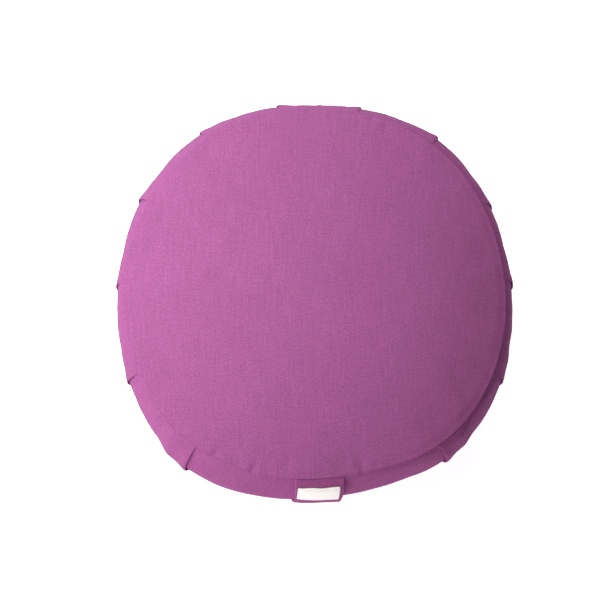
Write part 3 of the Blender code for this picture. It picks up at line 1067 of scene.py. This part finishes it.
def add_node(tree: bpy.types.NodeTree, kind: str, inputs: dict | None = None, **settings) -> bpy.types.Node:
    """Add a node with its settings and links.

    Args:
        tree: The tree to add it to.
        kind: The node's type name.
        inputs: For a socket's name or number, a value, the output that feeds it, or a node whose
            first output does.
        settings: The node's own properties.

    Returns:
        The new node.
    """
    node = tree.nodes.new(kind)
    for name, value in settings.items():
        setattr(node, name, value)
    for key, value in (inputs or {}).items():
        source = value.outputs[0] if isinstance(value, bpy.types.Node) else value
        if isinstance(source, bpy.types.NodeSocket):
            tree.links.new(source, node.inputs[key])
        else:
            node.inputs[key].default_value = source
    return node


@dataclass(frozen=True)
class Finish:
    """A finish: the name of its real material, and what feeds its shader."""

    name: str

    def inputs(self, tree: bpy.types.NodeTree) -> dict:
        """Add the nodes of its patterns and return what feeds each shader input."""
        raise NotImplementedError

    def make(self) -> bpy.types.Material:
        """Build the material."""
        material = bpy.data.materials.new(self.name)
        material.use_nodes = True
        tree = material.node_tree
        tree.nodes.clear()
        shader = add_node(tree, "ShaderNodeBsdfPrincipled", self.inputs(tree))
        add_node(tree, "ShaderNodeOutputMaterial", {"Surface": shader})
        return material


def thread_map(tree: bpy.types.NodeTree, spacing_mm: float) -> bpy.types.Node:
    """The piece's own cloth map, counted in threads."""
    per_metre = 1 / (spacing_mm * MM)
    cloth = add_node(tree, "ShaderNodeUVMap", uv_map="cloth")
    return add_node(tree, "ShaderNodeMapping", {"Vector": cloth, "Scale": (per_metre, per_metre, 1)})


@dataclass(frozen=True)
class WovenCloth(Finish):
    """A plain-woven cotton canvas, piece-dyed and matte.

    Warp and weft cross one over one, so the eye gets a fine, even grain with faint streaks where
    a yarn is thicker, and a soft bloom of fibre ends where light grazes it.
    """

    name: str = "cotton_canvas_dyed_purple"
    dye: str = "#854775"
    # the darker colour mixed in where the weave lies low: painted shade in the valleys between the threads
    valley_shade: str = "#71345F"
    thread_mm: float = 0.62  # from thread to thread: a little coarser than a real 0.5, so that it shows
    relief_mm: float = 0.10
    slub_share: float = 0.35
    slub_tone: float = 0.08
    mottle_tone: float = 0.24
    slow_tone: float = 0.025
    streak_tone: float = 0.05
    hue_drift: float = 0.12  # the dye took a little redder or bluer from place to place
    roughness: float = 0.86
    specular: float = 0.01
    sheen: float = 0.02
    sheen_roughness: float = 0.5
    sheen_tint: str = "#D79AC8"

    def inputs(self, tree: bpy.types.NodeTree) -> dict:
        """Add the weave, its slubs, streaks and mottles; all noise is counted in threads."""
        add = partial(add_node, tree)
        threads = thread_map(tree, self.thread_mm)
        noise = {}
        for label, stretch, scale, detail, roughness in (
            ("wobble", (1.0, 1.0), 0.11, 2.0, 0.5),
            ("warp slub", (1.0, 0.045), 0.8, 3.0, 0.5),
            ("weft slub", (0.045, 1.0), 0.8, 3.0, 0.5),
            ("mottle", (1.0, 1.0), 0.45, 4.0, 0.65),
            ("slow", (1.0, 1.0), 0.012, 3.0, 0.5),
            ("streak", (1.0, 0.07), 0.35, 2.0, 0.5),
            ("hue", (1.0, 1.0), 0.16, 3.0, 0.5),
        ):
            place = add("ShaderNodeMapping", {"Vector": threads, "Scale": (*stretch, 1.0)})
            grain = {"Vector": place, "Scale": scale, "Detail": detail, "Roughness": roughness}
            noise[label] = add("ShaderNodeTexNoise", grain)
        wobble = {0: noise["wobble"].outputs["Color"], 1: (0.5, 0.5, 0.5)}
        shift = add("ShaderNodeVectorMath", wobble, operation="SUBTRACT")
        sway = {0: shift, 1: (1.4, 1.4, 0.0), 2: threads}
        bent = add("ShaderNodeVectorMath", sway, operation="MULTIPLY_ADD")
        parts = add("ShaderNodeSeparateXYZ", {0: bent})
        product: bpy.types.Node | float = 1.0
        for axis in ("X", "Y"):
            phase = add("ShaderNodeMath", {0: parts.outputs[axis], 1: math.pi}, operation="MULTIPLY")
            wave = add("ShaderNodeMath", {0: phase}, operation="SINE")
            product = add("ShaderNodeMath", {0: product, 1: wave}, operation="MULTIPLY")
        size = add("ShaderNodeMath", {0: product}, operation="ABSOLUTE")
        crown = add("ShaderNodeMath", {0: size, 1: 0.55}, operation="POWER")
        warp_up = add("ShaderNodeMath", {0: product, 1: 0.0}, operation="GREATER_THAN")
        slub = add(
            "ShaderNodeMix", {0: warp_up, 2: noise["weft slub"], 3: noise["warp slub"]}, data_type="FLOAT"
        )
        spread = {1: 0.3, 2: 0.7}
        thick = add("ShaderNodeMapRange", {0: slub, **spread, 3: 1 - self.slub_share, 4: 1.0})
        height = add("ShaderNodeMath", {0: crown, 1: thick}, operation="MULTIPLY")
        bump = add("ShaderNodeBump", {"Height": height, "Strength": 0.6, "Distance": self.relief_mm * MM})
        level: bpy.types.Node | float = 1.0
        for pattern, amount in (
            (noise["mottle"], self.mottle_tone), (noise["slow"], self.slow_tone),
            (noise["streak"], self.streak_tone), (slub, self.slub_tone),
        ):
            tone = add("ShaderNodeMapRange", {0: pattern, **spread, 3: 1 - amount, 4: 1 + amount})
            level = add("ShaderNodeMath", {0: level, 1: tone}, operation="MULTIPLY")
        # Where the weave lies low the colour goes towards the darker one: painted shade in the valleys
        # between the threads.
        unshaded_share = add("ShaderNodeMapRange", {0: height, 1: 0.0, 2: 0.8, 3: 0.35, 4: 1.0})
        dye = add("ShaderNodeMix", {0: unshaded_share, 6: srgb(self.valley_shade), 7: srgb(self.dye)}, data_type="RGBA")
        toned = add("ShaderNodeVectorMath", {0: dye.outputs[2], "Scale": level}, operation="SCALE")
        hue = add(
            "ShaderNodeVectorMath",
            {0: noise["hue"].outputs["Color"], 1: (self.hue_drift,) * 3, 2: (1 - self.hue_drift / 2,) * 3},
            operation="MULTIPLY_ADD",
        )
        colour = add("ShaderNodeVectorMath", {0: toned, 1: hue}, operation="MULTIPLY")
        return {
            "Base Color": colour, "Normal": bump, "Roughness": self.roughness,
            "Specular IOR Level": self.specular, "Sheen Weight": self.sheen,
            "Sheen Roughness": self.sheen_roughness, "Sheen Tint": srgb(self.sheen_tint),
        }


@dataclass(frozen=True)
class WovenTape(Finish):
    """A bleached polyester satin tape: smooth and white, with fine crosswise ribs and a faint gloss."""

    name: str = "polyester_satin_tape_white"
    white: str = "#CDC6C4"
    rib_mm: float = 0.45  # real ribs are about 0.2 apart: drawn coarser, so that they show
    relief_mm: float = 0.03
    roughness: float = 0.55
    sheen: float = 0.05

    def inputs(self, tree: bpy.types.NodeTree) -> dict:
        """Add the ribs and a fine grain."""
        add = partial(add_node, tree)
        threads = thread_map(tree, self.rib_mm)
        parts = add("ShaderNodeSeparateXYZ", {0: threads})
        phase = add("ShaderNodeMath", {0: parts.outputs["Y"], 1: FULL_TURN}, operation="MULTIPLY")
        rib = add("ShaderNodeMath", {0: phase}, operation="SINE")
        grain = add("ShaderNodeTexNoise", {"Vector": threads, "Scale": 0.9, "Detail": 3.0})
        height = add("ShaderNodeMath", {0: rib, 1: 0.5, 2: grain}, operation="MULTIPLY_ADD")
        bump = add("ShaderNodeBump", {"Height": height, "Strength": 0.5, "Distance": self.relief_mm * MM})
        tone = add("ShaderNodeMapRange", {0: grain, 1: 0.3, 2: 0.7, 3: 0.985, 4: 1.015})
        colour = add("ShaderNodeVectorMath", {0: srgb(self.white)[:3], "Scale": tone}, operation="SCALE")
        return {"Base Color": colour, "Normal": bump, "Roughness": self.roughness, "Sheen Weight": self.sheen}


@dataclass(frozen=True)
class SewingThread(Finish):
    """Twisted polyester sewing thread: a little smoother and glossier than the cloth it is sewn to."""

    dye: str
    roughness: float = 0.6

    def inputs(self, tree: bpy.types.NodeTree) -> dict:
        """Add its twist, a fine diagonal stripe on Object coordinates."""
        place = add_node(tree, "ShaderNodeTexCoord").outputs["Object"]
        stripe = {"Vector": place, "Scale": 600.0, "Distortion": 1.0}
        twist = add_node(tree, "ShaderNodeTexWave", stripe, bands_direction="DIAGONAL")
        tone = add_node(tree, "ShaderNodeMapRange", {0: twist.outputs["Fac"], 3: 0.88, 4: 1.06})
        shade = {0: srgb(self.dye)[:3], "Scale": tone}
        colour = add_node(tree, "ShaderNodeVectorMath", shade, operation="SCALE")
        return {"Base Color": colour, "Roughness": self.roughness}


@dataclass(frozen=True)
class StudioPaper(Finish):
    """White background paper, faintly lit from within so that it stays white beside the cushion."""

    name: str = "white_background_paper"
    white: str = "#F4F4F4"
    glow: float = 0.76

    def inputs(self, tree: bpy.types.NodeTree) -> dict:
        """Give its plain values."""
        return {
            "Base Color": srgb(self.white), "Roughness": 0.95, "Specular IOR Level": 0.1,
            "Emission Color": (1, 1, 1, 1), "Emission Strength": self.glow,
        }


@dataclass(frozen=True)
class StitchRow:
    """A row of stitches along a path, made by Geometry Nodes."""

    name: str
    length: float
    gap: float
    thickness: float
    unevenness: float = 0.07
    seed: int = 3

    def tree(self) -> bpy.types.GeometryNodeTree:
        """The node tree: a stitch at every step of the path, turned along it, sized a little unevenly."""
        tree = bpy.data.node_groups.new("stitches_" + self.name, "GeometryNodeTree")
        for label, kind in (
            ("Geometry", "Geometry"), ("Stitch length", "Float"), ("Gap", "Float"), ("Thickness", "Float"),
            ("Unevenness", "Float"), ("Seed", "Int"), ("Thread", "Material"),
        ):
            tree.interface.new_socket(label, in_out="INPUT", socket_type="NodeSocket" + kind)
        tree.interface.new_socket("Geometry", in_out="OUTPUT", socket_type="NodeSocketGeometry")
        add = partial(add_node, tree)
        given = add("NodeGroupInput").outputs
        path = add("GeometryNodeMeshToCurve", {"Mesh": given["Geometry"]})
        pitch = add("ShaderNodeMath", {0: given["Stitch length"], 1: given["Gap"]}, operation="ADD")
        spots = add("GeometryNodeCurveToPoints", {"Curve": path, "Length": pitch}, mode="LENGTH")
        turned = add("FunctionNodeAlignRotationToVector", {"Vector": spots.outputs["Tangent"]}, axis="Z")
        low = add("ShaderNodeMath", {0: 1.0, 1: given["Unevenness"]}, operation="SUBTRACT")
        high = add("ShaderNodeMath", {0: 1.0, 1: given["Unevenness"]}, operation="ADD")
        uneven = add("FunctionNodeRandomValue", {2: low, 3: high, "Seed": given["Seed"]}, data_type="FLOAT")
        half = add("ShaderNodeMath", {0: given["Stitch length"], 1: 0.5}, operation="MULTIPLY")
        long_side = add("ShaderNodeMath", {0: half, 1: uneven.outputs[1]}, operation="MULTIPLY")
        round_side = add("ShaderNodeMath", {0: given["Thickness"], 1: 0.5}, operation="MULTIPLY")
        scale = add("ShaderNodeCombineXYZ", {0: round_side, 1: round_side, 2: long_side})
        stitch = add("GeometryNodeMeshUVSphere", {"Segments": 8, "Rings": 6, "Radius": 1.0})
        laid = add(
            "GeometryNodeInstanceOnPoints",
            {"Points": spots.outputs["Points"], "Instance": stitch, "Rotation": turned, "Scale": scale},
        )
        real = add("GeometryNodeRealizeInstances", {0: laid})
        smooth = add("GeometryNodeSetShadeSmooth", {0: real})
        dressed = add("GeometryNodeSetMaterial", {"Geometry": smooth, "Material": given["Thread"]})
        add("NodeGroupOutput", {0: dressed})
        return tree

    def build(self, paths: Sequence[np.ndarray], thread: bpy.types.Material) -> bpy.types.Object:
        """Sew the row.

        Args:
            paths: Points along each row; a closed row repeats its first point.
            thread: The thread's material.

        Returns:
            All the stitches as one plain mesh.
        """
        edges, start = [], 0
        for path in paths:
            edges += [(start + i, start + i + 1) for i in range(len(path) - 1)]
            start += len(path)
        guide = add_mesh(self.name + "_path", np.concatenate(paths).tolist(), [], edges)
        sewing = guide.modifiers.new("sewing", "NODES")
        sewing.node_group = self.tree()
        values = {
            "Stitch length": self.length, "Gap": self.gap, "Thickness": self.thickness,
            "Unevenness": self.unevenness, "Seed": self.seed, "Thread": thread,
        }
        for item in sewing.node_group.interface.items_tree:
            if item.item_type == "SOCKET" and item.in_out == "INPUT" and item.name in values:
                sewing[item.identifier] = values[item.name]
        bpy.context.view_layer.update()
        evaluated = guide.evaluated_get(bpy.context.evaluated_depsgraph_get())
        plain = bpy.data.meshes.new_from_object(evaluated)
        plain.name = self.name
        guide.modifiers.remove(sewing)
        bpy.data.objects.remove(guide)
        return add_object(self.name, plain)


@dataclass(frozen=True)
class SoftBox:
    """One large soft light; turn_deg is where it stands, clockwise from the back."""

    name: str
    turn_deg: float
    rise_deg: float
    distance: float
    width: float
    height: float
    power: float
    colour: tuple[float, float, float]

    def add(self, target: Vector) -> bpy.types.Object:
        """Stand the light up, facing the target."""
        lamp = bpy.data.lights.new(self.name, "AREA")
        lamp.shape = "RECTANGLE"
        lamp.size, lamp.size_y = self.width, self.height
        lamp.energy = self.power
        lamp.color = self.colour
        rise = math.radians(self.rise_deg)
        way = Vector(at_turn(math.radians(self.turn_deg), math.cos(rise), math.sin(rise)))
        box = add_object(self.name, lamp)
        box.location = target + way * self.distance
        box.rotation_euler = (-way).to_track_quat("-Z", "Y").to_euler()
        return box


@dataclass
class Studio:
    """The pale floor, the soft lights and the camera."""

    form: FilledForm
    camera_distance: float = 1.4
    camera_rise_deg: float = 81.8
    focal_px: float = 1762.6
    frame_px: int = 600
    sensor_mm: float = 36.0
    aim: tuple[float, float] = (-0.0109, -0.00595)  # the picture's middle, on the level of the top seam
    floor_side: float = 8.0
    screen_radius: float = 3.9
    screen_height: float = 3.0
    screen_panels: int = 64
    sky: tuple[float, float, float] = (1.0, 0.94, 0.97)
    sky_strength: float = 0.05
    boxes: tuple[SoftBox, ...] = (
        SoftBox("key", 286.0, 50.0, 1.0, 0.7, 0.6, 20.0, (0.95, 1.13, 1.0)),
        SoftBox("low left fill", 222.0, 12.0, 1.9, 1.3, 0.7, 21.0, (1.0, 0.95, 1.0)),
        SoftBox("low front fill", 188.0, 12.0, 1.9, 1.3, 0.7, 9.0, (1.0, 0.9, 0.95)),
        SoftBox("back fill", 0.0, 40.0, 1.9, 1.3, 1.1, 28.0, (1.0, 1.0, 0.99)),
    )

    def add_camera(self) -> None:
        """Place the camera at the photograph's angle, its frame level with the cushion's own axes."""
        data = bpy.data.cameras.new("camera")
        data.sensor_width = self.sensor_mm
        data.lens = self.focal_px * self.sensor_mm / self.frame_px
        rise = math.radians(self.camera_rise_deg)
        middle = Vector((0.0, 0.0, self.form.top_seam_height))
        place = middle + self.camera_distance * Vector((0.0, -math.cos(rise), math.sin(rise)))
        forward = (middle + Vector((*self.aim, 0.0)) - place).normalized()
        right = Vector((1.0, 0.0, 0.0))
        right = (right - forward * right.dot(forward)).normalized()
        turned = Matrix((right, right.cross(forward), -forward)).transposed().to_4x4()
        camera = add_object("camera", data)
        camera.matrix_world = Matrix.Translation(place) @ turned
        bpy.context.scene.camera = camera

    def add_paper(self) -> None:
        """Lay paper under the cushion, and stand a round screen of it far behind.

        The screen is only seen: it lights and shades nothing.
        """
        paper = StudioPaper().make()
        half, count = self.floor_side / 2, self.screen_panels
        corners = [(-half, -half, 0.0), (half, -half, 0.0), (half, half, 0.0), (-half, half, 0.0)]
        floor = add_mesh("floor", corners, [(0, 1, 2, 3)])
        turns = np.linspace(0.0, FULL_TURN, count, endpoint=False)
        rims = [at_turn(turns, self.screen_radius, level) for level in (0.0, self.screen_height)]
        panels = [(i, (i + 1) % count, count + (i + 1) % count, count + i) for i in range(count)]
        screen = add_mesh("screen", np.concatenate(rims).tolist(), panels)
        screen.visible_diffuse = screen.visible_glossy = screen.visible_shadow = False
        for sheet in (floor, screen):
            sheet.data.materials.append(paper)

    def add_sky(self) -> None:
        """Give the room its pale even light."""
        world = bpy.data.worlds.new("pale_room")
        bpy.context.scene.world = world
        world.use_nodes = True
        background = world.node_tree.nodes["Background"]
        background.inputs["Color"].default_value = (*self.sky, 1.0)
        background.inputs["Strength"].default_value = self.sky_strength

    def build(self) -> None:
        """Set up everything that isn't part of the cushion."""
        self.add_camera()
        self.add_paper()
        self.add_sky()
        for box in self.boxes:
            box.add(Vector((0.0, 0.0, self.form.top_seam_height)))
        bpy.context.scene.view_settings.view_transform = "Standard"
        log.info("studio: camera, floor, screen and %d lights", len(self.boxes))


def seat(piece: bpy.types.Object, slot: Slot, *nodes: str) -> None:
    """Let a piece ride with the cushion, hide the CAD nodes it stands for, and log its triangles and slot."""
    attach(piece, "root")
    if nodes:
        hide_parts(*nodes)
    piece.data.calc_loop_triangles()
    log.info("%s: %d triangles, slot %s", piece.name, len(piece.data.loop_triangles), slot.value)


def main() -> None:
    """Build the studio and every piece in order."""
    logging.basicConfig(level=logging.INFO, format="%(name)s: %(message)s")
    form = FilledForm()
    Studio(form).build()
    purple_thread = SewingThread("polyester_thread_purple", "#7E3F6C").make()
    white_thread = SewingThread("polyester_thread_white", "#D8D2D0").make()

    cover = CushionCover(form, PleatedBand(form, FoldShape()), SeamRelief(), SlackCloth(form)).build()
    cover.data.materials.append(WovenCloth().make())
    seat(cover, Slot.CANVAS, "cushion")

    strap_maker = CarryStrap(form)
    strap = strap_maker.build()
    # The strap's darker valley colour is painted shade between its threads too.
    strap_canvas = WovenCloth(name="cotton_canvas_strap_purple", dye="#81426F", valley_shade="#6D305A")
    strap.data.materials.append(strap_canvas.make())
    seat(strap, Slot.STRAP, "handle")

    label_maker = BareLabel(strap_maker)
    label = label_maker.build()
    label.data.materials.append(WovenTape().make())
    seat(label, Slot.TAPE, "label")

    topstitch = StitchRow("strap_topstitch", 2.5 * MM, 0.5 * MM, 0.42 * MM)
    lines = [strap_maker.stitch_line(side) for side in (-1, 1)]
    strap_stitches = topstitch.build(lines, purple_thread)
    seat(strap_stitches, Slot.STRAP)
    edging = StitchRow("label_stitching", 1.9 * MM, 0.4 * MM, 0.30 * MM, seed=8)
    label_stitches = edging.build([label_maker.stitch_line()], white_thread)
    seat(label_stitches, Slot.TAPE)

    strap_maker.flat_size


if __name__ == "__main__":
    main()
